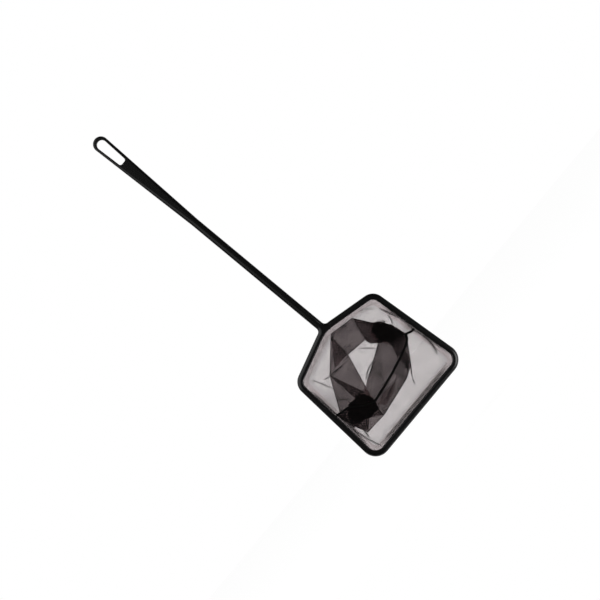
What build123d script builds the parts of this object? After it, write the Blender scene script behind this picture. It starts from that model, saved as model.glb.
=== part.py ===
"""Aquarium fish net: a one-piece moulded handle and hoop, a clamp ring, and a sewn mesh bag.

The net hangs by its handle. +Z is up along the handle, the hoop lies in the XZ plane, and its
open mouth faces -Y. The origin is the centre of the hang slot's round upper end, where a hook
or peg carries the net. The bag is folded flat behind the mouth, as it is sold and stored.
All sizes are in millimetres.
"""

from build123d import *
import os

# Hang slot and wide end of the handle
SLOT_TOP_RADIUS = 3.8
SLOT_BOTTOM_WIDTH = 6.0
SLOT_BOTTOM_RADIUS = 1.7
SLOT_DROP = 20.8  # origin to the slot's lower end
SLOT_CHAMFER = 0.5
END_WALL = 3.2  # slot's round end to the tip of the handle
EYE_WIDTH = 12.0
EYE_DEPTH = 4.2
EYE_FRONT_RADIUS = 1.2

# Handle
HANDLE_WIDTH = 6.3
HANDLE_LENGTH = 213.4  # origin to the point of the hoop's gable
TAPER_LENGTH = 90.0  # origin to where the handle becomes parallel
NECK_RADIUS = 3.4

# Hoop, to sharp corners on its outer edge
HOOP_LENGTH = 97.8  # gable point to leading edge
GABLE_RISE = 12.5
SHOULDER_WIDTH = 92.3
LEADING_WIDTH = 104.1
APEX_RADIUS = 30.0
SHOULDER_RADIUS = 10.3
LEADING_RADIUS = 11.6
LEAST_CORNER_RADIUS = 2.0  # on outlines that lie far inside the hoop
BAND_WIDTH = 4.7
HOOP_DEPTH = 5.0
FRONT_EDGE_RADIUS = 2.7
BACK_EDGE_CHAMFER = 0.6
INNER_EDGE_RADIUS = 0.8

# Rebate in the hoop's back, and the clamp ring with the pegs that pin the bag's edge
RIM_WALL = 1.3  # outer wall left beside the rebate
SEAT_DEPTH = 2.6  # front face to the rebate's floor
RING_SIDE_GAP = 0.1
RING_RECESS = 0.2  # ring's back below the rim
RING_CHAMFER = 0.4
CLAMP_GAP = 0.05
PEG_DIAMETER = 1.3
PEG_HOLE_GAP = 0.05
PEG_REACH = 1.3  # into the front flange
PEG_COUNT = 6

# Bag
MESH_THICKNESS = 0.3
HEM_THICKNESS = 0.3
HEM_SHOWN = 3.8  # inside the hoop
DISH_DEPTH = 2.6  # the slack mesh lies this far behind its clamped edge
DISH_SLOPE_WIDTH = 5.0
THREAD_WIDTH = 0.4
STITCH_INSET = 0.8  # from the hem's free edge
SEAM_WIDTH = 1.4
SEAM_THICKNESS = 0.5
SEAM_BEND_RADIUS = 2.5
SEAM_CLEARANCE = 0.1
FOLD_THICKNESS = 0.6  # two layers of mesh, turned back on the sheet
FOLD_CLEARANCE = 0.5  # folds to the clamp ring
GATHER_HEIGHT = 2.6
GATHER_CROWN = 0.55  # a gather's crest against its base

# Depths along Y. The bag's depths are those of its clamped edge.
FRONT_Y = -HOOP_DEPTH / 2
BACK_Y = HOOP_DEPTH / 2
SEAT_Y = FRONT_Y + SEAT_DEPTH
MESH_FRONT_Y = SEAT_Y + HEM_THICKNESS
MESH_BACK_Y = MESH_FRONT_Y + MESH_THICKNESS
FOLD_BACK_Y = MESH_BACK_Y + FOLD_THICKNESS
RING_FRONT_Y = MESH_BACK_Y + CLAMP_GAP
RING_BACK_Y = BACK_Y - RING_RECESS

# Heights along Z, and distances in from the hoop's outer edge
TIP_CENTRE_Z = SLOT_TOP_RADIUS + END_WALL - EYE_WIDTH / 2
APEX_Z = -HANDLE_LENGTH
SHOULDER_Z = APEX_Z - GABLE_RISE
LEADING_Z = APEX_Z - HOOP_LENGTH
SEAM_Z = (SHOULDER_Z + LEADING_Z) / 2
TRAP_INSET = RIM_WALL + RING_SIDE_GAP
PEG_INSET = (TRAP_INSET + BAND_WIDTH) / 2
HEM_INSET = BAND_WIDTH + HEM_SHOWN
FRONT_ROUND = min(FRONT_EDGE_RADIUS, 0.45 * HANDLE_WIDTH)  # a slimmer handle limits it

# The bag's seam and folds, as shares of the mouth's half width and half length, from the middle
# of the seam. Positive is to the right and towards the handle.
MOUTH_HALF_WIDTH = (SHOULDER_WIDTH + LEADING_WIDTH) / 4 - BAND_WIDTH
MOUTH_HALF_LENGTH = HOOP_LENGTH / 2
SEAM_LINE = [
    (1.2, -0.04), (0.83, 0.05), (0.75, -0.04), (0.19, -0.165),
    (-0.4, -0.24), (-0.755, 0.01), (-1.2, 0.12),
]
REAR_FOLDS = [
    [(0.43, 0.85), (0.02, 0.92), (-0.5, 0.55), (-0.87, 0.08), (-0.29, 0.05), (-0.06, 0.55), (0.29, 0.5)],
    [(0.39, 0.36), (0.62, 0.3), (0.8, -0.1), (-0.42, -0.3), (-0.29, 0.0)],
]
REAR_FOLD_CORNERS = [
    [(0.43, 0.85), (0.64, 0.62), (0.29, 0.5)],
    [(0.02, 0.92), (-0.06, 0.55), (-0.38, 0.56)],
    [(-0.5, 0.55), (-0.26, 0.12), (-0.46, 0.06)],
]
REAR_GATHER = [(0.5, 0.58), (0.72, 0.5), (0.8, 0.12), (0.6, 0.12), (0.34, 0.42)]
FRONT_FOLDS = [
    [(0.84, 0.02), (0.72, -0.1), (0.38, -0.33), (-0.45, -0.46), (-0.82, -0.45), (-0.88, 0.0), (-0.44, -0.2)],
]
FRONT_FOLD_CORNERS = [[(0.18, -0.24), (-0.45, -0.46), (-0.36, -0.24)]]
FRONT_GATHER = [(-0.42, -0.24), (-0.52, -0.4), (-0.76, -0.36), (-0.8, -0.1), (-0.72, -0.12)]

TINY = 1e-6  # tolerance for picking out corners


def slab(region, front_y, back_y):
    """A region drawn as (x, z), made solid between two depths."""
    return extrude(Plane.XZ.offset(-back_y) * region, amount=back_y - front_y, dir=(0, -1, 0))


def hoop_outline(inset):
    """The hoop's outline, moved in from its outer edge: square, with a shallow gable at the handle."""
    half_shoulder = SHOULDER_WIDTH / 2
    half_leading = LEADING_WIDTH / 2
    outline = Polygon(
        (0, APEX_Z),
        (-half_shoulder, SHOULDER_Z),
        (-half_leading, LEADING_Z),
        (half_leading, LEADING_Z),
        (half_shoulder, SHOULDER_Z),
        align=None,
    )
    if inset > 0:
        outline = offset(outline, amount=-inset, kind=Kind.INTERSECTION)
    heights = [corner.Y for corner in outline.vertices().sort_by(Axis.Y)]
    radius_at = {heights[0]: LEADING_RADIUS, heights[2]: SHOULDER_RADIUS, heights[4]: APEX_RADIUS}
    for height, radius in radius_at.items():
        corners = [v for v in outline.vertices() if abs(v.Y - height) < TINY]
        outline = fillet(corners, max(radius - inset, LEAST_CORNER_RADIUS))
    return outline


def hoop_band(outer_inset, inner_inset):
    """The region between two outlines of the hoop."""
    return hoop_outline(outer_inset) - hoop_outline(inner_inset)


def handle_section(width, depth, front_radius):
    """Cross-section of the handle, with x across it and y through its depth."""
    section = Rectangle(width, depth)
    section = fillet(section.vertices().group_by(Axis.Y)[0], front_radius)
    return chamfer(section.vertices().group_by(Axis.Y)[-1], BACK_EDGE_CHAMFER)


def hang_slot():
    """Region of the tapered slot, with a round upper end and a flatter lower one."""
    corner_x = SLOT_BOTTOM_WIDTH / 2 - SLOT_BOTTOM_RADIUS
    corner_z = SLOT_BOTTOM_RADIUS - SLOT_DROP
    corners = [Pos(x, corner_z) * Circle(SLOT_BOTTOM_RADIUS) for x in (-corner_x, corner_x)]
    rounds = Circle(SLOT_TOP_RADIUS) + corners
    return make_hull(rounds.edges())


def wide_end():
    """Upper handle: the round tip and the taper down to the parallel shank, with the hang slot."""
    eye = handle_section(EYE_WIDTH, EYE_DEPTH, EYE_FRONT_RADIUS)
    shank = handle_section(HANDLE_WIDTH, HOOP_DEPTH, FRONT_ROUND)
    tip_plane = Plane.XY.offset(TIP_CENTRE_Z)
    taper = loft([Plane.XY.offset(-TAPER_LENGTH) * shank, tip_plane * eye])
    half_eye = eye & Pos(EYE_WIDTH / 2, 0) * Rectangle(EYE_WIDTH, EYE_DEPTH)
    tip = revolve(tip_plane * half_eye, Axis(tip_plane.origin, (0, -1, 0)), revolution_arc=180)
    blank = taper + tip
    slot = slab(hang_slot(), -EYE_DEPTH, EYE_DEPTH)
    slotted = blank - slot
    return chamfer(new_edges(blank, slot, combined=slotted), SLOT_CHAMFER)


def shank_and_hoop():
    """Parallel shank and hoop, blended at the neck, with the rebate and peg holes for the clamp ring."""
    shank_foot_z = APEX_Z - BAND_WIDTH / 2
    shank_length = -TAPER_LENGTH - shank_foot_z
    shank = Pos(0, shank_foot_z + shank_length / 2) * Rectangle(HANDLE_WIDTH, shank_length)
    outline = hoop_outline(0) + shank
    on_side = [v for v in outline.vertices() if abs(abs(v.X) - HANDLE_WIDTH / 2) < TINY]
    neck = [v for v in on_side if v.Y < -TAPER_LENGTH - TINY]
    outline = fillet(neck, NECK_RADIUS) - hoop_outline(BAND_WIDTH)
    body = slab(outline, FRONT_Y, BACK_Y)
    body = fillet(outer_rim(body.faces().sort_by(Axis.Y)[0]), FRONT_ROUND)
    body = chamfer(outer_rim(body.faces().sort_by(Axis.Y)[-1]), BACK_EDGE_CHAMFER)
    mouth_edge = body.faces().sort_by(Axis.Y)[0].inner_wires()[0].edges()
    body = fillet(mouth_edge, INNER_EDGE_RADIUS)
    body -= slab(hoop_band(RIM_WALL, BAND_WIDTH), SEAT_Y, BACK_Y)
    return body - peg_holes(SEAT_Y - PEG_REACH - PEG_HOLE_GAP, SEAT_Y)


def outer_rim(face):
    """Outer edges of the shank and hoop, without the end that meets the wide part of the handle."""
    return [edge for edge in face.outer_wire().edges() if edge.center().Z < -TAPER_LENGTH - TINY]


def round_pegs(diameter, front_y, back_y):
    """Cylinders spaced evenly round the middle of the clamp ring."""
    path = hoop_outline(PEG_INSET).face().outer_wire()
    places = [path.position_at(i / PEG_COUNT) for i in range(PEG_COUNT)]
    discs = [Pos(place.X, place.Y) * Circle(diameter / 2) for place in places]
    return slab(Sketch() + discs, front_y, back_y)


def peg_holes(front_y, back_y):
    return round_pegs(PEG_DIAMETER + 2 * PEG_HOLE_GAP, front_y, back_y)


def clamp_ring():
    """Ring that sits in the rebate and pins the bag's edge with moulded pegs."""
    ring = slab(hoop_band(TRAP_INSET, BAND_WIDTH), RING_FRONT_Y, RING_BACK_Y)
    ring = chamfer(ring.faces().sort_by(Axis.Y)[-1].edges(), RING_CHAMFER)
    return ring + round_pegs(PEG_DIAMETER, SEAT_Y - PEG_REACH, RING_FRONT_Y)


def mouth_hem():
    """Binding strip of the bag's mouth: a flat band, trapped in the hoop and showing inside it."""
    band = slab(hoop_band(TRAP_INSET, HEM_INSET), SEAT_Y, MESH_FRONT_Y)
    return band - peg_holes(SEAT_Y, MESH_FRONT_Y)


def bag_point(share):
    """A point in the mouth's plane, from shares of the mouth's half width and half length."""
    return share[0] * MOUTH_HALF_WIDTH, SEAM_Z + share[1] * MOUTH_HALF_LENGTH


def bag_polygon(shares):
    return make_face(Polyline(*[bag_point(share) for share in shares], close=True))


def seam_path():
    return FilletPolyline(*[bag_point(share) for share in SEAM_LINE], radius=SEAM_BEND_RADIUS)


def seam_strip(width, end_inset):
    """Region along the seam, ended inside the hoop."""
    strip = make_face(offset(seam_path(), amount=width / 2, side=Side.BOTH))
    return strip & hoop_outline(end_inset)


def dish(rim_y):
    """Everything in front of a dished sheet whose flat rim lies at one depth."""
    rim = slab(hoop_outline(TRAP_INSET), FRONT_Y - DISH_DEPTH, rim_y)
    slope_top = hoop_outline(HEM_INSET)
    slope_foot = hoop_outline(HEM_INSET + DISH_SLOPE_WIDTH)
    rim_plane = Plane.XZ.offset(-rim_y)
    floor_plane = Plane.XZ.offset(-rim_y - DISH_DEPTH)
    return rim + loft([rim_plane * slope_top, floor_plane * slope_foot], ruled=True)


def dished_layer(region, front_y, back_y):
    """A layer of the bag over one region, following the dish between two rim depths."""
    block = slab(region, FRONT_Y - DISH_DEPTH, BACK_Y + 2 * DISH_DEPTH)
    return (dish(back_y) - dish(front_y)) & block


def bag_seam():
    """Overlocked seam that joins the two panels, from one side of the hoop to the other."""
    region = seam_strip(SEAM_WIDTH, BAND_WIDTH + SEAM_CLEARANCE)
    return dished_layer(region, SEAT_Y - SEAM_THICKNESS, SEAT_Y)


def hem_stitching():
    """Thread that holds the hem down, laid near its free edge and broken where the seam crosses."""
    line = hoop_outline(HEM_INSET - STITCH_INSET)
    half = THREAD_WIDTH / 2
    thread = slab(offset(line, amount=half) - offset(line, amount=-half), SEAT_Y - THREAD_WIDTH, SEAT_Y)
    crossing = seam_strip(SEAM_WIDTH + 2 * SEAM_CLEARANCE, BAND_WIDTH)
    return thread - slab(crossing, FRONT_Y, BACK_Y)


def half_plane(side):
    """The mouth's plane on one side of the seam: 1 is the handle's side, -1 the leading edge's."""
    seam = seam_path()
    first = seam.position_at(0)
    last = seam.position_at(1)
    far_z = SEAM_Z + side * HOOP_LENGTH
    border = Polyline((last.X, last.Y), (last.X, far_z), (first.X, far_z), (first.X, first.Y))
    return make_face(seam.edges() + border.edges())


def gathered_bunch(shares):
    """Faceted heap of bunched mesh that narrows towards its crest."""
    middle_u = sum(u for u, v in shares) / len(shares)
    middle_v = sum(v for u, v in shares) / len(shares)
    crest = [
        (middle_u + GATHER_CROWN * (u - middle_u), middle_v + GATHER_CROWN * (v - middle_v))
        for u, v in shares
    ]
    foot_y = MESH_BACK_Y + DISH_DEPTH
    foot_plane = Plane.XZ.offset(-foot_y)
    crest_plane = Plane.XZ.offset(-foot_y - GATHER_HEIGHT)
    return loft([foot_plane * bag_polygon(shares), crest_plane * bag_polygon(crest)], ruled=True)


def net_panel(side, folds, fold_corners, gather):
    """One mesh panel: a slack sheet, the folds pressed flat behind it, and a bunch at the seam's end."""
    half = half_plane(side)
    fold_limit = hoop_outline(BAND_WIDTH + FOLD_CLEARANCE) & half
    panel = dished_layer(hoop_outline(TRAP_INSET) & half, MESH_FRONT_Y, MESH_BACK_Y)
    panel -= peg_holes(MESH_FRONT_Y, MESH_BACK_Y)
    for fold in folds:
        panel += dished_layer(bag_polygon(fold) & fold_limit, MESH_BACK_Y, FOLD_BACK_Y)
    for corner in fold_corners:
        panel += dished_layer(bag_polygon(corner) & fold_limit, MESH_BACK_Y, FOLD_BACK_Y + FOLD_THICKNESS)
    return panel + gathered_bunch(gather)


PARTS = {
    "net_frame": wide_end() + shank_and_hoop(),
    "clamp_ring": clamp_ring(),
    "mouth_hem": mouth_hem(),
    "hem_stitching": hem_stitching(),
    "bag_seam": bag_seam(),
    "rear_net_panel": net_panel(1, REAR_FOLDS, REAR_FOLD_CORNERS, REAR_GATHER),
    "front_net_panel": net_panel(-1, FRONT_FOLDS, FRONT_FOLD_CORNERS, FRONT_GATHER),
}

os.makedirs("parts", exist_ok=True)
for node, shape in PARTS.items():
    export_step(shape, f"parts/{node}.step")
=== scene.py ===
"""Aquarium fish net: black moulded plastic, with a sewn bag of fine mesh folded flat in its hoop.

The moulded frame and its clamp ring keep their CAD meshes. The bag's cloth, hem, seam and stitching are
modelled here, in place of their solids. Sizes are in millimetres up to the point where a mesh is made,
and in metres from there.
"""

import math

import bmesh
import bpy
from mathutils import Matrix, Vector, kdtree, noise


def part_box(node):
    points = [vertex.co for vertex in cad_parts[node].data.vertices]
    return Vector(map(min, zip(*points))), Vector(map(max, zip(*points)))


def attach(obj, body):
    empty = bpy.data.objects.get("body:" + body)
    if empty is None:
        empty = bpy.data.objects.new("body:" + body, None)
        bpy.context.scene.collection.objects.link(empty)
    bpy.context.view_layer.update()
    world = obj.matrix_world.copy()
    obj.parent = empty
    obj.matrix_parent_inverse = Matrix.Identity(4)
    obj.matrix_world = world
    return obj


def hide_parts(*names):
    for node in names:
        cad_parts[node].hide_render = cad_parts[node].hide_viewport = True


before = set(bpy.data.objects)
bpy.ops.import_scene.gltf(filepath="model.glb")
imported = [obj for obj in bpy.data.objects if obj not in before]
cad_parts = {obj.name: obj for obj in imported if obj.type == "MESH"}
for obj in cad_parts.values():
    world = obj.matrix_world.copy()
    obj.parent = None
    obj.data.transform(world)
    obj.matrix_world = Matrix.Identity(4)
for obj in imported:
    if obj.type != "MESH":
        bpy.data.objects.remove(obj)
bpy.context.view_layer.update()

MM = 0.001
CUT_TOLERANCE = 1e-5
MERGE_DISTANCE = 1e-4

# Hoop, to sharp corners on its outer edge
HOOP_LENGTH = 97.8
GABLE_RISE = 12.5
SHOULDER_WIDTH = 92.3
LEADING_WIDTH = 104.1
APEX_RADIUS = 30.0
SHOULDER_RADIUS = 10.3
LEADING_RADIUS = 11.6
LEAST_CORNER_RADIUS = 2.0
CORNER_STEPS = 7
CORNER_BLEND = 2.5  # rounds the dish's corners

# Slack sheet of the bag, as distances in from the hoop's outer edge and as depths
TRAP_INSET = 1.6
HEM_INSET = 8.5
MESH_THICKNESS = 0.3
DISH_DEPTH = 2.6
DISH_SLOPE_WIDTH = 5.0
SLOPE_FADE_WIDTH = 4.0  # over which the slope's closer-looking mesh and its painted shade fade into the rest
BILLOW = 0.35
BILLOW_SPAN = 16.0
BILLOW_SEED = 3.1
PATCHINESS = 0.05
PATCH_SPAN = 7.0
PATCH_SEED = 8.4
CLOTH_SPACING = 0.7
PANEL_MARGIN = 2.0  # how far a panel reaches past the hoop before it is trimmed
# Closer-set patches of the sheet beside the bunches: x, z, radius and tightness
GATHERED_PATCHES = [(-36.0, -257.0, 9.0, 0.17), (39.5, -263.5, 6.0, 0.14)]

# Hem
HEM_SPACING = 2.0
HEM_STEPS = 18
HEM_ROLL_SHARE = 0.78  # of the pull, with the rest in the fold at the roll's inner edge
HEM_FOLD_SHARE = 1 - HEM_ROLL_SHARE
HEM_ROLL_EDGE = 0.9
HEM_FOLD_WIDTH = 0.5
HEM_LOOSE = -0.36
HEM_PATCHINESS = 0.06
HEM_PATCH_SPAN = 11.0
HEM_PATCH_SEED = 5.2
HEM_CORNER_FADE = (10.0, 24.0)  # distances in from the next side, between which the pull sets in
# Along the left gable, left side, leading edge, right side and right gable
# The first list darkens the mesh on the dish's slope: partly the slope's slant, partly painted shade along
# the hoop.
SLOPE_TIGHTNESS_AND_SHADE = [0.19, 0.1, 0.14, 0.08, 0.15]
HEM_PULL = [0.0, 0.85, 0.8, 0.85, 0.0]
HEM_ROLL = [5.8, 5.8, 7.5, 5.8, 5.8]  # how far in the drawn-up part of the hem reaches
# Where the seam's ends draw the hem in: height, span along the side, and how much wider the roll is
LEFT_SEAM_END = (-276.0, 12.0, 2.0)
RIGHT_SEAM_END = (-268.5, 6.0, 1.2)

# Pleats: two layers of mesh pressed flat behind the sheet
PLEAT_SPACING = 1.1
PLEAT_GAP = 0.32
PLEAT_PUFF_WIDTH = 2.2  # from a crease to where the two layers lie fully apart
PLEAT_LIFT = 0.5  # sheet to the middle of the first pleat
PLEAT_STEP = 0.62
CREASE_WIDTH = 0.7
CREASE_TIGHTNESS = 0.15
WAVE = 0.16
WAVE_SPAN = 9.0

# Bunches: crumpled leaves of mesh heaped at the seam's ends
LEAF_SCALES = [1.05, 0.98, 0.9, 0.78, 0.6]
LEAF_LIFT = 0.6
LEAF_STEP = 0.5
LEAF_TIGHTNESS = 0.1
RIDGE_COUNT = 17
RIDGE_HEIGHT = 0.24
RIDGE_RUN = 12.0  # from the tie to where the ridges have their full height
RIDGE_SHIFT = 2.3  # radians from one leaf to the next
CRUMPLE = 0.45
CRUMPLE_SPAN = 3.2
RAGGED = 1.1  # how far a leaf strays from its outline
RAGGED_SPAN = 4.5
RAGGED_SEED_X = 20
RAGGED_SEED_Z = 30

# Sewing
SEAM_WIDTH = 1.7
SEAM_THICKNESS = 0.4
SEAM_LIFT = 0.62  # sheet to the middle of the seam, towards the front
SEAM_END_INSET = 4.8
SEAM_SMOOTHING = 0.6
SEAM_STEPS = 180
TAPE_ROWS = 4
OVERLOCK_PITCH = 0.75
OVERLOCK_SLANT = 28.0  # degrees
OVERLOCK_LIFT = 0.75  # seam's middle to its threads, against the seam's thickness
OVERLOCK_REACH = 1.15  # thread's length against the seam's width
THREAD_WIDTH = 0.16
THREAD_SIDES = 8
THREAD_RINGS = 6
STITCH_INSET = 7.7
STITCH_LENGTH = 1.3
STITCH_PITCH = 2.2

# Weave of the mesh
WEAVE_PITCH = 0.45
HOLE_SHARE = 0.7  # hole's side against the pitch
THREAD_EDGE = 0.06  # half the width of a thread's soft edge, against half the pitch
CROSSING_RISE = 0.3
LEAST_COVER = 0.04  # of a hole
COVER_RANGE = 0.91  # from a hole to a thread
SHEET_LAYER = 0
HEM_LAYER = 2
LAYER_TURNS = [0.0, 0.55, 1.05, 0.28, 0.8]  # radians, so that no two layers' threads line up
STREAK_DEPTH = 0.1
STREAK_TURN = -0.317  # radians
STREAK_SPAN = (0.014, 1.0, 0.0016)  # metres

# Where the bag's seam and folds lie, as (x, z)
SEAM_ROUTE = [
    (56.0, -270.0), (45.5, -268.3), (40.6, -267.6), (36.6, -265.7), (34.5, -269.1),
    (30.5, -271.2), (19.5, -274.2), (8.5, -276.5), (-5.3, -278.9), (-17.7, -280.2),
    (-25.0, -276.0), (-32.8, -268.3), (-43.7, -264.9), (-56.0, -262.5),
]
# Each pleat has its place behind the sheet in layers, how tight its mesh is, and its outline.
REAR_PLEATS_AND_SHADE = [
    (0, 0.06, [(20.2, -227.0), (0.7, -222.3), (-2.8, -242.6), (13.4, -245.3)]),
    (0, 0.05, [
        (0.7, -222.3), (-23.8, -241.5), (-25.0, -268.0),
        (-17.6, -279.0), (-12.8, -268.1), (-2.8, -242.6),
    ]),
    (1, -0.1, [(-0.3, -223.2), (-17.4, -241.5), (-3.0, -241.8)]),
    (0, 0.02, [
        (20.2, -227.0), (13.4, -245.3), (14.0, -249.9),
        (19.6, -256.0), (25.0, -258.0), (28.0, -242.4),
    ]),
    (1, 0.0, [
        (20.3, -227.3), (14.0, -246.0), (14.6, -249.6),
        (20.0, -255.4), (25.0, -257.0), (28.0, -243.0),
    ]),
    (0.4, 0.13, [
        (19.6, -253.4), (-22.0, -271.8), (-17.5, -281.2), (8.5, -277.7),
        (34.0, -270.5), (37.0, -265.6), (33.5, -260.5),
    ]),
    (1, 0.0, [(24.8, -260.0), (19.0, -272.8), (33.6, -269.9), (37.0, -265.6), (35.0, -262.0)]),
    # The next pair is painted shade: a sheet laid in only to darken the mesh along the rear bunch's lower
    # edge.
    (2, -0.1, [(19.7, -253.2), (22.2, -261.5), (26.5, -267.5), (34.6, -267.0), (30.0, -258.0)]),
    (2, -0.1, [
        (26.4, -239.6), (17.4, -247.0), (17.6, -253.6),
        (24.0, -259.5), (34.0, -256.0), (30.4, -245.2),
    ]),
    (3, -0.1, [
        (27.4, -241.0), (19.2, -246.4), (19.0, -253.4),
        (24.2, -260.5), (34.4, -258.0), (31.0, -245.6),
    ]),
    (2, -0.08, [(-13.0, -267.5), (-19.6, -269.0), (-18.0, -277.5), (-16.0, -277.5), (-14.4, -272.8)]),
    (1, 0.06, [(-23.8, -241.5), (-40.4, -265.2), (-33.0, -269.5), (-16.5, -269.5)]),
]
FRONT_PLEATS = [
    (0, 0.18, [(33.9, -269.9), (8.5, -275.8), (11.1, -288.0), (21.5, -284.0)]),
    (0, 0.14, [(8.5, -275.8), (-17.7, -279.4), (-20.0, -292.4), (11.1, -288.0)]),
    (0, 0.0, [(-17.7, -279.4), (-41.6, -279.5), (-38.4, -291.4), (-20.0, -292.4)]),
    (1, -0.34, [(4.8, -282.9), (-8.0, -281.1), (-17.9, -282.6), (-14.2, -288.5), (-3.0, -287.1)]),
    (1, 0.0, [(27.5, -272.4), (19.8, -274.8), (16.8, -284.8), (24.6, -279.0)]),
    (1, 0.0, [(23.0, -282.4), (17.0, -286.7), (13.6, -292.0)]),
    (1, 0.0, [
        (-41.3, -276.3), (-41.0, -282.1), (-39.0, -287.2),
        (-36.9, -290.6), (-31.2, -286.6), (-28.7, -283.8),
    ]),
    (1, 0.0, [(-18.6, -283.2), (-30.0, -284.5), (-20.5, -291.8)]),
    (0.4, 0.15, [(-33.0, -268.0), (-43.6, -265.4), (-42.6, -281.0), (-34.0, -283.0)]),
    (1.2, 0.1, [(-34.0, -268.9), (-43.0, -266.6), (-41.6, -279.0), (-36.0, -281.5)]),
]
REAR_BUNCH = [
    (28.2, -242.3), (21.5, -245.5), (20.8, -253.5), (24.5, -261.5),
    (33.5, -264.5), (36.5, -264.8), (35.2, -254.0), (32.8, -247.3),
]
REAR_BUNCH_TIE = (34.5, -268.5)
FRONT_BUNCH = [
    (-19.5, -268.6), (-31.5, -266.8), (-38.6, -272.3), (-40.3, -277.0), (-35.3, -282.3),
    (-28.0, -285.2), (-19.5, -285.6), (-16.8, -280.0), (-17.0, -275.0),
]
FRONT_BUNCH_TIE = (-37.5, -268.0)

# Wrinkles of the single sheet: width, how tightly the mesh is pinched, and three points on the line
WRINKLES = [
    (0.7, 0.8, [(38.9, -239.3), (40.6, -244.9), (42.4, -253.5)]),
    (0.45, 0.75, [(38.5, -246.2), (38.2, -249.6), (36.0, -253.6)]),
    (0.9, 0.6, [(32.2, -245.4), (33.4, -247.1), (32.6, -248.9)]),
    (0.9, 0.2, [(27.7, -227.8), (32.2, -231.1), (35.7, -234.8)]),
    (0.6, 0.55, [(-34.9, -234.6), (-33.0, -239.5), (-29.0, -252.5)]),
    (0.5, 0.75, [(-28.7, -240.4), (-26.7, -241.6), (-23.6, -242.4)]),
    (0.7, 0.9, [(-23.4, -242.1), (-15.4, -243.8), (-10.5, -244.4)]),
    (0.6, 0.6, [(-41.6, -241.8), (-42.0, -251.0), (-43.0, -262.9)]),
    (0.6, 0.85, [(-43.9, -268.0), (-42.8, -289.0), (-39.6, -304.3)]),
    (0.55, 0.85, [(-38.3, -285.5), (-39.4, -290.0), (-40.5, -294.0)]),
    (0.5, 0.5, [(6.0, -245.8), (10.5, -251.0), (14.9, -256.5)]),
    (0.6, 0.8, [(6.6, -260.0), (-1.8, -261.3), (-8.9, -265.0)]),
    (0.45, 0.55, [(3.0, -262.4), (-3.5, -263.6), (-9.5, -266.2)]),
    (0.9, 0.8, [(43.6, -277.0), (43.5, -285.0), (40.6, -292.8)]),
    (0.5, 0.6, [(14.2, -291.5), (13.0, -293.3), (12.6, -295.0)]),
    (0.5, 0.75, [(-33.6, -258.3), (-30.0, -262.5), (-26.8, -265.7)]),
    (0.5, 0.6, [(1.2, -269.2), (0.6, -272.0), (-0.5, -275.0)]),
    (0.5, 0.6, [(6.6, -282.1), (-2.5, -284.0), (-10.0, -286.5)]),
]
WRINKLE_STEPS = 24
WRINKLE_REACH = 2.5  # widths
WRINKLE_HEIGHT = 0.45
WRINKLE_END = 0.04  # share of the fade that is left out at each end, so that the pinch never reaches 0

# Moulded plastic. In all finishes, a pattern's scale is its count per metre.
PLASTIC_BLACK = (0.0022, 0.0022, 0.0022, 1)
PLASTIC_SCUFFED = (0.012, 0.012, 0.0125, 1)
PLASTIC_SPECULAR = 0.32
FRAME_ROUGHNESS = 0.2
RING_ROUGHNESS = 0.28
GRAIN_SCALE = 2400.0
GRAIN_HEIGHT = 0.2
FLOW_SCALE = 90.0
FLOW_STRETCH = (1, 1, 0.25)
FLOW_HEIGHT = 2.0
FLOW_ROUGHNESS = 0.1
SCRATCH_SCALE = 700.0
SCRATCH_STRETCH = (1, 1, 0.06)
SCRATCH_EDGE = (0.62, 0.8)
RUBBED_SCALE = 40.0
RUBBED_EDGE = (0.45, 0.7)
RUBBED_ROUGHNESS = 0.2

# Yarn of the mesh
YARN_BLACK = (0.0014, 0.0011, 0.0011, 1)
YARN_WORN = (0.004, 0.0032, 0.0032, 1)
YARN_SPECULAR = 0.04
YARN_ROUGHNESS = 0.6
WORN_SCALE = 260.0
WORN_EDGE = (0.35, 0.75)
WORN_ROUGHNESS = 0.15
HOLE_TINT = (1.0, 0.945, 0.95, 1)

# Sewing thread
THREAD_BLACK = (0.0015, 0.0014, 0.0014, 1)
THREAD_PALE = (0.004, 0.0038, 0.0038, 1)
THREAD_SPECULAR = 0.03
THREAD_ROUGHNESS = 0.75
FIBRE_SCALE = 3500.0
FIBRE_STRETCH = (1, 1, 0.4)
FUZZ_EDGE = (0.45, 0.75)
FUZZ_ROUGHNESS = 0.15

# Floor
FLOOR_DROP = 40.0  # hoop to floor
FLOOR_SIZE = 1600.0
FLOOR_FRONT = 8.0  # net to the floor's front edge
FLOOR_TONES = [(0.8, 0.8, 0.8, 1), (0.84, 0.84, 0.84, 1)]
FLOOR_SCALE = 3.0
FLOOR_GLOW = 1.15
FLOOR_GLOW_SHARE = 0.8
WHITE = (1, 1, 1, 1)

# Camera
CAMERA_RIGHT = Vector((0.63889, 0.0, -0.76930))
CAMERA_UP = Vector((0.76930, 0.0, 0.63889))
CAMERA_BACK = Vector((0.0, -1.0, 0.0))
CAMERA_TARGET = (5.55, 0.0, -188.4)
CAMERA_DISTANCE = 2000.0
FIELD_WIDTH = 450.0
SENSOR_WIDTH = 36.0

# Studio light. An edge gives the two values between which a part of it fades in or out.
AMBIENT_LEVEL = 0.03
BACKDROP_LEVEL = 0.95
BACKDROP_EDGE = (0.45, 0.85)
BRIGHT_SIDE = Vector((-0.6, 0.0, 0.8))
STRIP_LEVEL = 0.9
STRIP_SIDE_EDGE = (0.72, 0.9)
STRIP_MIDDLE_EDGE = (0.12, 0.4)
STRIP_FRONT_EDGE = (-0.75, -0.3)
STRIP_REAR_EDGE = (-0.1, 0.45)
STRIP_REAR_FADE = 0.85
ABOVE_ONE = 1.0001  # keeps a divisor above 0
SOFTBOX_DISTANCE = 1200.0
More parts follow.
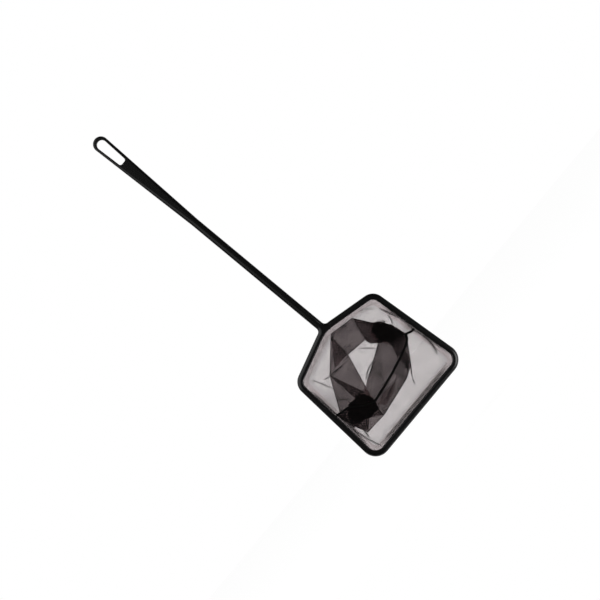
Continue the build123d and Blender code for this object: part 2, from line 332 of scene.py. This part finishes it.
# Each softbox has a name, its direction from the net, its size, and its power in watts.
SOFTBOXES = [
    ("left_softbox", -CAMERA_RIGHT + CAMERA_BACK * 0.8, 1600.0, 10.0),
    ("right_softbox", CAMERA_RIGHT * 1.4 + CAMERA_BACK, 1000.0, 16.0),
]

# Places taken from the CAD frame
hoop_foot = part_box("net_frame")[0].z / MM
apex_z = hoop_foot + HOOP_LENGTH
shoulder_z = apex_z - GABLE_RISE
hem_low, hem_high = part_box("mouth_hem")
hem_y = (hem_low.y + hem_high.y) / 2 / MM
rim_y = hem_high.y / MM + MESH_THICKNESS / 2

CORNERS = [
    (Vector((0, apex_z)), APEX_RADIUS),
    (Vector((-SHOULDER_WIDTH / 2, shoulder_z)), SHOULDER_RADIUS),
    (Vector((-LEADING_WIDTH / 2, hoop_foot)), LEADING_RADIUS),
    (Vector((LEADING_WIDTH / 2, hoop_foot)), LEADING_RADIUS),
    (Vector((SHOULDER_WIDTH / 2, shoulder_z)), SHOULDER_RADIUS),
]


def smooth_step(low, high, value):
    """0 below low, 1 above high, smooth between."""
    share = min(1.0, max(0.0, (value - low) / (high - low)))
    return share * share * (3 - 2 * share)


def outward(here, after):
    """The direction that points out of an outline drawn anticlockwise, on the side between two corners."""
    along = (after - here).normalized()
    return Vector((along.y, -along.x))


HOOP_SIDES = [
    (here, outward(here, CORNERS[(i + 1) % len(CORNERS)][0])) for i, (here, radius) in enumerate(CORNERS)
]


def side_distances(x, z):
    """Distances in from the hoop's five sides: left gable, left, leading edge, right and right gable."""
    place = Vector((x, z))
    return [(corner - place).dot(out) for corner, out in HOOP_SIDES]


def side_weights(x, z):
    """How much each of the hoop's five sides counts at a point. The nearest counts most."""
    return [math.exp(-distance / CORNER_BLEND) for distance in side_distances(x, z)]


def mouth_inset(x, z):
    """Distance in from the hoop's outer edge, rounded where two sides meet."""
    return -CORNER_BLEND * math.log(sum(side_weights(x, z)))


def by_side(values, x, z):
    """A value that differs along the hoop's five sides, blended at its corners."""
    weights = side_weights(x, z)
    return sum(weight * value for weight, value in zip(weights, values)) / sum(weights)


def mouth_cuts(inset):
    """Planes that trim a sheet to the hoop's rounded outline, as a point and the direction out of it."""
    cuts = []
    for i, (corner, radius) in enumerate(CORNERS):
        before = HOOP_SIDES[i - 1][1]
        after = HOOP_SIDES[i][1]
        inward = -(before + after) / (1 + before.dot(after))
        inner_radius = max(radius - inset, LEAST_CORNER_RADIUS)
        centre = corner + inward * (inset + inner_radius)
        for step in range(CORNER_STEPS + 1):
            out = before.lerp(after, step / CORNER_STEPS).normalized()
            cuts.append((centre + out * inner_radius, out))
    return cuts


def outline_cuts(points):
    """Planes that trim a sheet to a convex outline."""
    corners = [Vector(point) for point in points]
    return [(here, outward(here, after)) for here, after in zip(corners, corners[1:] + corners[:1])]


def billow(x, z, span, seed):
    """Smooth unevenness between about -1 and 1, with swells as wide as span."""
    return noise.noise(Vector((x / span, z / span, seed)))


def sheet_y(x, z):
    """Depth of the slack sheet: flat at its clamped edge, dished and a little uneven inside the hem."""
    dish = smooth_step(HEM_INSET, HEM_INSET + DISH_SLOPE_WIDTH, mouth_inset(x, z))
    return rim_y + dish * (DISH_DEPTH + BILLOW * billow(x, z, BILLOW_SPAN, BILLOW_SEED))


def route_z(x):
    """Height of the seam's route, which runs from right to left."""
    for (x1, z1), (x2, z2) in zip(SEAM_ROUTE, SEAM_ROUTE[1:]):
        if x2 <= x <= x1:
            return z1 + (z2 - z1) * (x1 - x) / (x1 - x2)
    return SEAM_ROUTE[0][1] if x > 0 else SEAM_ROUTE[-1][1]


def seam_z(x):
    """Height of the seam, with its corners smoothed."""
    offsets = [SEAM_SMOOTHING * share for share in (-1, -0.5, 0, 0.5, 1)]
    return sum(route_z(x + offset) for offset in offsets) / len(offsets)


def wrinkle_marks():
    """Points along all wrinkles, with each point's width and pinch, which fades towards the ends."""
    marks = []
    for width, pinch, points in WRINKLES:
        start, middle, end = [Vector(point) for point in points]
        bend = 2 * middle - (start + end) / 2
        for step in range(WRINKLE_STEPS + 1):
            share = step / WRINKLE_STEPS
            place = start * (1 - share) ** 2 + bend * 2 * share * (1 - share) + end * share ** 2
            inside = WRINKLE_END + (1 - 2 * WRINKLE_END) * share
            marks.append((place, width, pinch * math.sqrt(math.sin(math.pi * inside))))
    return marks


def wrinkle_tree(marks):
    """Finds the point of a wrinkle that is nearest to any place on the sheet."""
    tree = kdtree.KDTree(len(marks))
    for i, (place, width, pinch) in enumerate(marks):
        tree.insert((place.x, 0, place.y), i)
    tree.balance()
    return tree


WRINKLE_MARKS = wrinkle_marks()
WRINKLE_TREE = wrinkle_tree(WRINKLE_MARKS)


def wrinkle_pinch(x, z):
    """How tightly a wrinkle pinches the sheet at a point, from 0 to 1."""
    near, i, distance = WRINKLE_TREE.find((x, 0, z))
    place, width, pinch = WRINKLE_MARKS[i]
    return pinch * math.exp(-(distance / width) ** 2)


def near_wrinkle(edge):
    middle = (edge.verts[0].co + edge.verts[1].co) / 2
    near, i, distance = WRINKLE_TREE.find((middle.x, 0, middle.z))
    return distance < WRINKLE_REACH * WRINKLE_MARKS[i][1]


def sheet_tightness_and_shade(x, z):
    """Slack mesh looks closer set on the dish's slope, beside the bunches, and where it wrinkles. On the
    slope this is partly the slant and partly painted shade along the hoop.
    """
    slope_fade = smooth_step(HEM_INSET, HEM_INSET + SLOPE_FADE_WIDTH, mouth_inset(x, z))
    slope_and_shade = by_side(SLOPE_TIGHTNESS_AND_SHADE, x, z) * (1 - slope_fade)
    patchy = PATCHINESS * billow(x, z, PATCH_SPAN, PATCH_SEED)
    gathered = sum(
        tight * math.exp(-math.hypot(x - patch_x, z - patch_z) ** 2 / radius ** 2)
        for patch_x, patch_z, radius, tight in GATHERED_PATCHES
    )
    return slope_and_shade + patchy + gathered + wrinkle_pinch(x, z)


def hem_tightness(x, z):
    """The hem is drawn up into a roll along the sides and the leading edge, widest at the seam's ends."""
    nearest, second = sorted(side_distances(x, z))[:2]
    end_z, span, widening = LEFT_SEAM_END if x < 0 else RIGHT_SEAM_END
    reach = by_side(HEM_ROLL, x, z) + widening * math.exp(-((z - end_z) / span) ** 2)
    roll = 1 - smooth_step(reach - HEM_ROLL_EDGE, reach + HEM_ROLL_EDGE, nearest)
    fold = math.exp(-((nearest - reach + HEM_FOLD_WIDTH) / HEM_FOLD_WIDTH) ** 2)
    pull = by_side(HEM_PULL, x, z) * smooth_step(*HEM_CORNER_FADE, second)
    patchy = HEM_PATCHINESS * billow(x, z, HEM_PATCH_SPAN, HEM_PATCH_SEED)
    return HEM_LOOSE + patchy + pull * (HEM_ROLL_SHARE * roll + HEM_FOLD_SHARE * fold)


def new_grid(low, high, spacing):
    """A flat sheet in the hoop's plane, facing the front, over a rectangle of (x, z)."""
    bm = bmesh.new()
    width, height = high[0] - low[0], high[1] - low[1]
    stretch = Matrix.Diagonal((width, height, 1, 1))
    upright = Matrix.Rotation(math.pi / 2, 4, "X")
    middle = Matrix.Translation(((low[0] + high[0]) / 2, 0, (low[1] + high[1]) / 2))
    bmesh.ops.create_grid(
        bm,
        x_segments=max(1, round(width / spacing)),
        y_segments=max(1, round(height / spacing)),
        size=0.5,
        matrix=middle @ upright @ stretch,
    )
    return bm


def cut_across(bm, place, normal, clear_outer=False):
    """Cuts a mesh along a plane and, with clear_outer, drops what lies on the normal's side."""
    geometry = bm.verts[:] + bm.edges[:] + bm.faces[:]
    bmesh.ops.bisect_plane(
        bm, geom=geometry, dist=CUT_TOLERANCE, plane_co=place, plane_no=normal, clear_outer=clear_outer
    )


def trim(bm, cuts):
    for (x, z), (out_x, out_z) in cuts:
        cut_across(bm, (x, 0, z), (out_x, 0, out_z), clear_outer=True)


def lay_weave(bm, faces, layer):
    """Maps the weave onto one layer of mesh, turned against the other layers."""
    layers = bm.loops.layers.uv
    uv = layers.get("weave") or layers.new("weave")
    turn = Matrix.Rotation(LAYER_TURNS[layer % len(LAYER_TURNS)], 2)
    for face in faces:
        for loop in face.loops:
            loop[uv].uv = turn @ Vector((loop.vert.co.x, loop.vert.co.z)) / WEAVE_PITCH


def tightness_and_shade_layer(bm):
    layers = bm.verts.layers.float
    return layers.get("tightness_and_shade") or layers.new("tightness_and_shade")


def slack_panel(far_z):
    """Single sheet from the seam out to the hoop, with its first row of vertices on the seam."""
    half = LEADING_WIDTH / 2
    height = abs(far_z - seam_z(0))
    bm = new_grid((-half, 0), (half, height), CLOTH_SPACING)
    for vert in bm.verts:
        seam = seam_z(vert.co.x)
        vert.co.z = seam + (far_z - seam) * vert.co.z / height
    trim(bm, mouth_cuts(TRAP_INSET))
    wrinkled = [edge for edge in bm.edges if near_wrinkle(edge)]
    bmesh.ops.subdivide_edges(bm, edges=wrinkled, cuts=1, use_grid_fill=True)
    tightness_and_shade = tightness_and_shade_layer(bm)
    for vert in bm.verts:
        x, z = vert.co.x, vert.co.z
        vert[tightness_and_shade] = sheet_tightness_and_shade(x, z)
        vert.co.y = sheet_y(x, z) - WRINKLE_HEIGHT * wrinkle_pinch(x, z)
    if far_z < seam_z(0):
        bmesh.ops.reverse_faces(bm, faces=bm.faces[:])
    lay_weave(bm, bm.faces[:], SHEET_LAYER)
    return bm


def lay_twin(bm):
    """The faces of a sheet, and those of a second one laid on it, which face the other way."""
    front = bm.faces[:]
    twin = bmesh.ops.duplicate(bm, geom=bm.verts[:] + bm.edges[:] + front)["geom"]
    back = [part for part in twin if isinstance(part, bmesh.types.BMFace)]
    bmesh.ops.reverse_faces(bm, faces=back)
    return front, back


def pressed_pair(points, tight, middle_y, layer):
    """Two layers of mesh over a convex outline, apart in the middle and pressed to a crease at the edge."""
    low = (min(x for x, z in points), min(z for x, z in points))
    high = (max(x for x, z in points), max(z for x, z in points))
    cuts = outline_cuts(points)
    bm = new_grid(low, high, PLEAT_SPACING)
    trim(bm, cuts)
    front, back = lay_twin(bm)
    tightness_and_shade = tightness_and_shade_layer(bm)
    for faces, sign in ((front, -1), (back, 1)):
        for vert in {vert for face in faces for vert in face.verts}:
            x, z = vert.co.x, vert.co.z
            edge = max(0.0, min((corner - Vector((x, z))).dot(out) for corner, out in cuts))
            puff = math.sqrt(min(1.0, edge / PLEAT_PUFF_WIDTH))
            vert[tightness_and_shade] = tight + CREASE_TIGHTNESS * math.exp(-edge / CREASE_WIDTH)
            vert.co.y = middle_y(x, z) + sign * puff * PLEAT_GAP / 2
    lay_weave(bm, front, layer)
    lay_weave(bm, back, layer + 1)
    bmesh.ops.remove_doubles(bm, verts=bm.verts[:], dist=MERGE_DISTANCE)
    return bm


def pleat(points, tight, level):
    """One pleat, which follows the sheet's dish behind the pleats of lower levels."""
    layer = 1 + 2 * round(level)

    def middle_y(x, z):
        wave = WAVE * billow(x, z, WAVE_SPAN, level)
        return sheet_y(x, z) + PLEAT_LIFT + PLEAT_STEP * level + wave

    return pressed_pair(points, tight, middle_y, layer)


def bunch_leaf(points, tie, level):
    """One crumpled leaf of a bunch, with ridges that run out from where the bunch is tied."""
    middle = sum((Vector(point) for point in points), Vector((0, 0))) / len(points)
    shrunk = [tuple(middle + LEAF_SCALES[level] * (Vector(point) - middle)) for point in points]

    def middle_y(x, z):
        bearing = math.atan2(z - tie[1], x - tie[0])
        reach = min(1.0, math.hypot(x - tie[0], z - tie[1]) / RIDGE_RUN)
        ridge = RIDGE_HEIGHT * reach * math.sin(RIDGE_COUNT * bearing + RIDGE_SHIFT * level)
        crumple = CRUMPLE * billow(x, z, CRUMPLE_SPAN, level)
        return rim_y + DISH_DEPTH + LEAF_LIFT + LEAF_STEP * level + ridge + crumple

    leaf = pressed_pair(shrunk, LEAF_TIGHTNESS, middle_y, 2 * level)
    for vert in leaf.verts:
        x, z = vert.co.x, vert.co.z
        vert.co.x += RAGGED * billow(x, z, RAGGED_SPAN, RAGGED_SEED_X + level)
        vert.co.z += RAGGED * billow(x, z, RAGGED_SPAN, RAGGED_SEED_Z + level)
    return leaf


def join(parts):
    """One mesh in metres from several meshes in millimetres."""
    whole = bmesh.new()
    for part in parts:
        mesh = bpy.data.meshes.new("part")
        part.to_mesh(mesh)
        part.free()
        whole.from_mesh(mesh)
        bpy.data.meshes.remove(mesh)
    bmesh.ops.scale(whole, vec=(MM, MM, MM), verts=whole.verts[:])
    return whole


def net_panel(far_z, pleats_and_shade, bunch, tie):
    """One side of the bag: the slack sheet, the pleats behind it, and the bunch at the seam's end. On the
    rear, one of the pleats is a sheet of painted shade at the bunch's edge.
    """
    parts = [slack_panel(far_z)]
    parts += [pleat(points, tight, level) for level, tight, points in pleats_and_shade]
    parts += [bunch_leaf(bunch, tie, level) for level in range(len(LEAF_SCALES))]
    return join(parts)


def mouth_hem():
    """Strip of mesh along the mouth, trapped in the hoop at its outer edge."""
    half = LEADING_WIDTH / 2
    one_face = HOOP_LENGTH * 2
    bm = new_grid((-half, hoop_foot), (half, apex_z), one_face)
    trim(bm, mouth_cuts(TRAP_INSET))
    inner = bm.faces[:]
    row = (HEM_INSET - TRAP_INSET) / HEM_STEPS
    for step in range(HEM_STEPS):
        bmesh.ops.inset_region(bm, faces=inner, thickness=row, use_boundary=True, use_even_offset=True)
    bmesh.ops.delete(bm, geom=inner, context="FACES")
    for i in range(1, round(LEADING_WIDTH / HEM_SPACING)):
        cut_across(bm, (i * HEM_SPACING - half, 0, 0), (1, 0, 0))
    for i in range(1, round(HOOP_LENGTH / HEM_SPACING)):
        cut_across(bm, (0, 0, hoop_foot + i * HEM_SPACING), (0, 0, 1))
    tightness_and_shade = tightness_and_shade_layer(bm)
    for vert in bm.verts:
        vert[tightness_and_shade] = hem_tightness(vert.co.x, vert.co.z)
        vert.co.y = hem_y
    lay_weave(bm, bm.faces[:], HEM_LAYER)
    return join([bm])


def lay_stitch(bm, middle, along, length):
    """One visible stitch: a thread that dips into the cloth at both ends."""
    turn = Vector((0, 0, 1)).rotation_difference(along).to_matrix().to_4x4()
    size = Matrix.Diagonal((THREAD_WIDTH, THREAD_WIDTH, length, 1))
    bmesh.ops.create_uvsphere(
        bm,
        u_segments=THREAD_SIDES,
        v_segments=THREAD_RINGS,
        radius=0.5,
        matrix=Matrix.Translation(middle) @ turn @ size,
    )


def hem_stitching():
    """Running stitches round the hem, broken where the seam crosses it."""
    bm = bmesh.new()
    path = [point for point, out in mouth_cuts(STITCH_INSET)]
    next_stitch = 0.0
    for here, after in zip(path, path[1:] + path[:1]):
        run = (after - here).length
        along = (after - here).normalized()
        while next_stitch < run:
            x, z = here + along * next_stitch
            next_stitch += STITCH_PITCH
            if abs(z - seam_z(x)) >= SEAM_WIDTH:
                middle = Vector((x, hem_y - THREAD_WIDTH / 2, z))
                lay_stitch(bm, middle, Vector((along.x, 0, along.y)), STITCH_LENGTH)
        next_stitch -= run
    return join([bm])


def seam_route():
    """Points along the seam's middle, from the hoop's right to its left, just in front of the sheet."""
    half = LEADING_WIDTH / 2
    route = []
    for step in range(SEAM_STEPS + 1):
        x = half - LEADING_WIDTH * step / SEAM_STEPS
        z = seam_z(x)
        if min(side_distances(x, z)) >= SEAM_END_INSET:
            route.append(Vector((x, sheet_y(x, z) - SEAM_LIFT, z)))
    return route


def across_seam(along):
    """The direction across the seam, in the plane of the hoop."""
    return along.cross(Vector((0, 1, 0))).normalized()


def seam_tape(route):
    """The seam allowance: a narrow tape of folded mesh with a rounded face."""
    bm = bmesh.new()
    last = len(route) - 1
    bmesh.ops.create_grid(bm, x_segments=last, y_segments=TAPE_ROWS, size=0.5)
    for vert in bm.verts:
        i = round((vert.co.x + 0.5) * last)
        across = vert.co.y
        along = (route[min(i + 1, last)] - route[max(i - 1, 0)]).normalized()
        crown = SEAM_THICKNESS * (0.5 ** 2 - across ** 2)
        vert.co = route[i] + across_seam(along) * (across * SEAM_WIDTH) - Vector((0, crown, 0))
    bmesh.ops.recalc_face_normals(bm, faces=bm.faces[:])
    bmesh.ops.solidify(bm, geom=bm.faces[:], thickness=SEAM_THICKNESS)
    bmesh.ops.recalc_face_normals(bm, faces=bm.faces[:])
    return bm


def overlock_stitches(route):
    """Slanted threads that wrap the seam tape, leaning alternately to either side."""
    bm = bmesh.new()
    lift = Vector((0, SEAM_THICKNESS * OVERLOCK_LIFT, 0))
    travelled = 0.0
    count = 0
    for here, after in zip(route, route[1:]):
        travelled += (after - here).length
        if travelled < OVERLOCK_PITCH:
            continue
        travelled -= OVERLOCK_PITCH
        along = (after - here).normalized()
        lean = math.radians(OVERLOCK_SLANT if count % 2 else -OVERLOCK_SLANT)
        thread = (across_seam(along) * math.cos(lean) + along * math.sin(lean)).normalized()
        lay_stitch(bm, (here + after) / 2 - lift, thread, SEAM_WIDTH * OVERLOCK_REACH)
        count += 1
    return bm


class Signal:
    """A shader value, so that maths on it reads as plain arithmetic. Each step adds a Math node."""

    def __init__(self, finish, socket):
        self.finish = finish
        self.socket = socket

    def maths(self, operation, *others):
        inputs = dict(enumerate((self,) + others))
        return self.finish.node("ShaderNodeMath", {"operation": operation}, inputs)

    def out(self, name):
        """Another output of the same node."""
        return Signal(self.finish, self.socket.node.outputs[name])

    def __add__(self, other):
        return self.maths("ADD", other)

    def __radd__(self, other):
        return self.maths("ADD", other)

    def __sub__(self, other):
        return self.maths("SUBTRACT", other)

    def __rsub__(self, other):
        return (self * -1).maths("ADD", other)

    def __mul__(self, other):
        return self.maths("MULTIPLY", other)

    def __rmul__(self, other):
        return self.maths("MULTIPLY", other)


class Finish:
    """The node tree of a material or the world, with one method that adds any node."""

    def __init__(self, tree):
        self.tree = tree

    def node(self, kind, settings=None, inputs=None, output=0):
        """A node's type, its settings, the values or links of its sockets, and the output that is used."""
        node = self.tree.nodes.new(kind)
        for name, value in (settings or {}).items():
            setattr(node, name, value)
        for name, value in (inputs or {}).items():
            if isinstance(value, Signal):
                self.tree.links.new(value.socket, node.inputs[name])
            else:
                node.inputs[name].default_value = value
        return Signal(self, node.outputs[output]) if node.outputs else None

    def object_place(self):
        return self.node("ShaderNodeTexCoord", output="Object")

    def noise(self, place, scale, detail=2.0, stretch=(1, 1, 1)):
        stretched = self.node("ShaderNodeMapping", inputs={"Vector": place, "Scale": stretch})
        inputs = {"Vector": stretched, "Scale": scale, "Detail": detail}
        return self.node("ShaderNodeTexNoise", inputs=inputs)

    def ramp(self, value, low, high):
        """0 below low, 1 above high, smooth between."""
        inputs = {"Value": value, "From Min": low, "From Max": high}
        return self.node("ShaderNodeMapRange", {"interpolation_type": "SMOOTHSTEP"}, inputs)

    def blend(self, factor, first, second):
        """A mix of two colours."""
        inputs = {0: factor, 6: first, 7: second}
        return self.node("ShaderNodeMix", {"data_type": "RGBA"}, inputs, 2)

    def bump(self, height, strength, distance):
        inputs = {"Strength": strength, "Distance": distance, "Height": height}
        return self.node("ShaderNodeBump", inputs=inputs)

    def surface(self, colour, roughness, normal, specular):
        inputs = {
            "Base Color": colour,
            "Roughness": roughness,
            "Normal": normal,
            "Specular IOR Level": specular,
        }
        return self.node("ShaderNodeBsdfPrincipled", inputs=inputs)

    def show(self, surface, kind="ShaderNodeOutputMaterial"):
        self.node(kind, inputs={"Surface": surface})


def new_material(name):
    material = bpy.data.materials.new(name)
    material.use_nodes = True
    material.node_tree.nodes.clear()
    return material, Finish(material.node_tree)


def moulded_plastic(name, gloss_roughness):
    """Black moulded plastic: fine mould grain, flow marks along the handle, and faint grey scuffs."""
    material, finish = new_material(name)
    place = finish.object_place()
    grain = finish.noise(place, GRAIN_SCALE, detail=3.0)
    flow = finish.noise(place, FLOW_SCALE, stretch=FLOW_STRETCH)
    scratched = finish.noise(place, SCRATCH_SCALE, detail=4.0, stretch=SCRATCH_STRETCH)
    scratches = finish.ramp(scratched, *SCRATCH_EDGE)
    rubbed = scratches * finish.ramp(finish.noise(place, RUBBED_SCALE), *RUBBED_EDGE)
    colour = finish.blend(rubbed, PLASTIC_BLACK, PLASTIC_SCUFFED)
    roughness = gloss_roughness + flow * FLOW_ROUGHNESS + rubbed * RUBBED_ROUGHNESS
    height = grain * GRAIN_HEIGHT + flow * FLOW_HEIGHT
    normal = finish.bump(height, strength=0.1, distance=0.00004)
    finish.show(finish.surface(colour, roughness, normal, PLASTIC_SPECULAR))
    return material


def thread_rise(place):
    """0 in the middle of a hole and 1 in the middle of a thread, along one direction of the weave."""
    return (place.maths("FRACT") - 0.5).maths("ABSOLUTE") * 2


def fold_streaks(finish, place):
    """Long faint streaks in the mesh, from how it was folded."""
    inputs = {"Vector": place, "Rotation": (0, STREAK_TURN, 0), "Scale": STREAK_SPAN}
    turned = finish.node("ShaderNodeMapping", {"vector_type": "TEXTURE"}, inputs)
    return finish.node("ShaderNodeTexNoise", inputs={"Vector": turned, "Scale": 1.0, "Detail": 2.0})


def black_mesh():
    """Fine black mesh: crossing threads with open square holes, closer set where the cloth is tight and
    where shade along the hoop is painted in.
    """
    material, finish = new_material("black_mesh")
    weave = finish.node("ShaderNodeUVMap", {"uv_map": "weave"})
    across = finish.node("ShaderNodeSeparateXYZ", inputs={"Vector": weave}, output="X")
    along = across.out("Y")
    tightness_and_shade = finish.node("ShaderNodeAttribute", {"attribute_name": "tightness_and_shade"}, output="Fac")
    place = finish.object_place()
    streaks = fold_streaks(finish, place)
    opening = HOLE_SHARE * (1 - tightness_and_shade - STREAK_DEPTH * (streaks - 0.5))
    warp = thread_rise(across)
    weft = thread_rise(along)
    warp_thread = finish.ramp(warp, opening - THREAD_EDGE, opening + THREAD_EDGE)
    weft_thread = finish.ramp(weft, opening - THREAD_EDGE, opening + THREAD_EDGE)
    thread = warp_thread.maths("MAXIMUM", weft_thread)
    crossing = (across * math.pi).maths("COSINE") * (along * math.pi).maths("COSINE")
    warp_height = warp * (1 + CROSSING_RISE * crossing)
    weft_height = weft * (1 - CROSSING_RISE * crossing)
    height = warp_height.maths("MAXIMUM", weft_height)
    normal = finish.bump(height, strength=0.5, distance=0.0001)
    worn = finish.ramp(finish.noise(place, WORN_SCALE, detail=3.0), *WORN_EDGE)
    colour = finish.blend(worn, YARN_BLACK, YARN_WORN)
    yarn = finish.surface(colour, YARN_ROUGHNESS + WORN_ROUGHNESS * worn, normal, YARN_SPECULAR)
    holes = finish.node("ShaderNodeBsdfTransparent", inputs={"Color": HOLE_TINT})
    cover = LEAST_COVER + COVER_RANGE * thread
    finish.show(finish.node("ShaderNodeMixShader", inputs={0: cover, 1: holes, 2: yarn}))
    return material


def black_thread():
    """Black sewing thread: fine twisted fibres, matt, with paler fuzz."""
    material, finish = new_material("black_thread")
    fibres = finish.noise(finish.object_place(), FIBRE_SCALE, detail=4.0, stretch=FIBRE_STRETCH)
    fuzz = finish.ramp(fibres, *FUZZ_EDGE)
    colour = finish.blend(fuzz, THREAD_BLACK, THREAD_PALE)
    normal = finish.bump(fibres, strength=0.5, distance=0.00006)
    finish.show(finish.surface(colour, THREAD_ROUGHNESS + FUZZ_ROUGHNESS * fuzz, normal, THREAD_SPECULAR))
    return material


def add_object(name, data):
    """A new object at the origin, in the scene."""
    added = bpy.data.objects.new(name, data)
    bpy.context.scene.collection.objects.link(added)
    return added


def add_mesh(name, bm, material):
    mesh = bpy.data.meshes.new(name)
    bm.to_mesh(mesh)
    bm.free()
    mesh.materials.append(material)
    return add_object(name, mesh)


def add_piece(name, bm, material, slot, *nodes):
    """A piece of the bag, which takes the place of CAD nodes."""
    for face in bm.faces:
        face.smooth = True
    piece = add_mesh(name, bm, material)
    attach(piece, "root")
    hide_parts(*nodes)
    return piece


def dress_frame():
    """Gives the CAD meshes of the frame and its clamp ring their plastic."""
    finishes = {
        "net_frame": moulded_plastic("frame_plastic", FRAME_ROUGHNESS),
        "clamp_ring": moulded_plastic("ring_plastic", RING_ROUGHNESS),
    }
    for node, material in finishes.items():
        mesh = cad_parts[node].data
        mesh.materials.clear()
        mesh.materials.append(material)


def add_bag():
    """The sewn bag: hem, stitches, seam and the two panels, which are its sheets."""
    mesh_finish = black_mesh()
    thread_finish = black_thread()
    hem = add_piece("bag_hem", mouth_hem(), mesh_finish, "net_mesh", "mouth_hem")
    stitches = add_piece("hem_stitches", hem_stitching(), thread_finish, "black_thread", "hem_stitching")
    route = seam_route()
    sewn_seam = join([seam_tape(route), overlock_stitches(route)])
    seam = add_piece("overlocked_seam", sewn_seam, thread_finish, "black_thread", "bag_seam")
    rear = net_panel(apex_z + PANEL_MARGIN, REAR_PLEATS_AND_SHADE, REAR_BUNCH, REAR_BUNCH_TIE)
    rear = add_piece("rear_net_cloth", rear, mesh_finish, "net_mesh", "rear_net_panel")
    front = net_panel(hoop_foot - PANEL_MARGIN, FRONT_PLEATS, FRONT_BUNCH, FRONT_BUNCH_TIE)
    front = add_piece("front_net_cloth", front, mesh_finish, "net_mesh", "front_net_panel")


def background_ray(finish, backdrop):
    """1 for rays that see the plain white background, 0 for others, and backdrop for reflections."""
    camera = finish.node("ShaderNodeLightPath", output="Is Camera Ray")
    plain = camera.maths("MAXIMUM", camera.out("Is Transmission Ray"))
    return plain.maths("MAXIMUM", camera.out("Is Glossy Ray") * backdrop)


def add_world():
    """White for the camera. Other rays see a soft studio: bright behind the net and to the photo's left."""
    world = bpy.data.worlds.new("studio")
    world.use_nodes = True
    bpy.context.scene.world = world
    world.node_tree.nodes.clear()
    finish = Finish(world.node_tree)
    direction = finish.node("ShaderNodeTexCoord", output="Generated")
    behind = finish.node("ShaderNodeSeparateXYZ", inputs={"Vector": direction}, output="Y")
    towards = {0: direction, 1: BRIGHT_SIDE}
    left = finish.node("ShaderNodeVectorMath", {"operation": "DOT_PRODUCT"}, towards, "Value")
    sideways = (ABOVE_ONE - behind * behind).maths("SQRT")
    beside = finish.ramp(left.maths("DIVIDE", sideways), *STRIP_SIDE_EDGE)
    strip = beside * finish.ramp(sideways, *STRIP_MIDDLE_EDGE)
    rear_fade = 1 - STRIP_REAR_FADE * finish.ramp(behind, *STRIP_REAR_EDGE)
    level = finish.ramp(behind, *STRIP_FRONT_EDGE) * rear_fade
    backdrop = finish.ramp(behind, *BACKDROP_EDGE)
    studio = AMBIENT_LEVEL + BACKDROP_LEVEL * backdrop + STRIP_LEVEL * strip * level
    plain = background_ray(finish, backdrop)
    strength = studio * (1 - plain) + plain
    light = finish.node("ShaderNodeBackground", inputs={"Color": WHITE, "Strength": strength})
    finish.show(light, "ShaderNodeOutputWorld")


def pale_floor():
    """Pale and matt. For the camera it is lifted to white, and the net's shadow stays on it."""
    material, finish = new_material("pale_floor")
    tone = finish.blend(finish.noise(finish.object_place(), FLOOR_SCALE), *FLOOR_TONES)
    matt = finish.node("ShaderNodeBsdfDiffuse", inputs={"Color": tone})
    glow = finish.node("ShaderNodeEmission", inputs={"Color": WHITE, "Strength": FLOOR_GLOW})
    lifted = background_ray(finish, 1) * FLOOR_GLOW_SHARE
    finish.show(finish.node("ShaderNodeMixShader", inputs={0: lifted, 1: matt, 2: glow}))
    return material


def add_floor():
    """Plain floor under the hoop, which runs back from just in front of the net."""
    bm = bmesh.new()
    bmesh.ops.create_grid(bm, x_segments=1, y_segments=1, size=FLOOR_SIZE * MM / 2)
    middle = (0, (FLOOR_SIZE / 2 - FLOOR_FRONT) * MM, (hoop_foot - FLOOR_DROP) * MM)
    bmesh.ops.translate(bm, vec=middle, verts=bm.verts[:])
    floor = add_mesh("floor", bm, pale_floor())


def add_softbox(name, direction, size, power):
    """A square lamp that faces the net."""
    lamp = bpy.data.lights.new(name, "AREA")
    lamp.shape = "SQUARE"
    lamp.size = size * MM
    lamp.energy = power
    box = add_object(name, lamp)
    towards = direction.normalized()
    box.location = Vector(CAMERA_TARGET) * MM + towards * SOFTBOX_DISTANCE * MM
    box.rotation_euler = towards.to_track_quat("Z", "Y").to_euler()


def add_camera():
    """The photo's view, square on to the net's front."""
    data = bpy.data.cameras.new("photo_view")
    data.sensor_width = SENSOR_WIDTH
    data.lens = SENSOR_WIDTH * CAMERA_DISTANCE / FIELD_WIDTH
    camera = add_object("photo_view", data)
    place = Vector(CAMERA_TARGET) * MM + CAMERA_BACK * CAMERA_DISTANCE * MM
    axes = Matrix((CAMERA_RIGHT, CAMERA_UP, CAMERA_BACK)).transposed().to_4x4()
    camera.matrix_world = Matrix.Translation(place) @ axes
    bpy.context.scene.camera = camera


dress_frame()
add_bag()
add_world()
add_floor()
for softbox in SOFTBOXES:
    add_softbox(*softbox)
add_camera()
bpy.context.scene.view_settings.view_transform = "Standard"
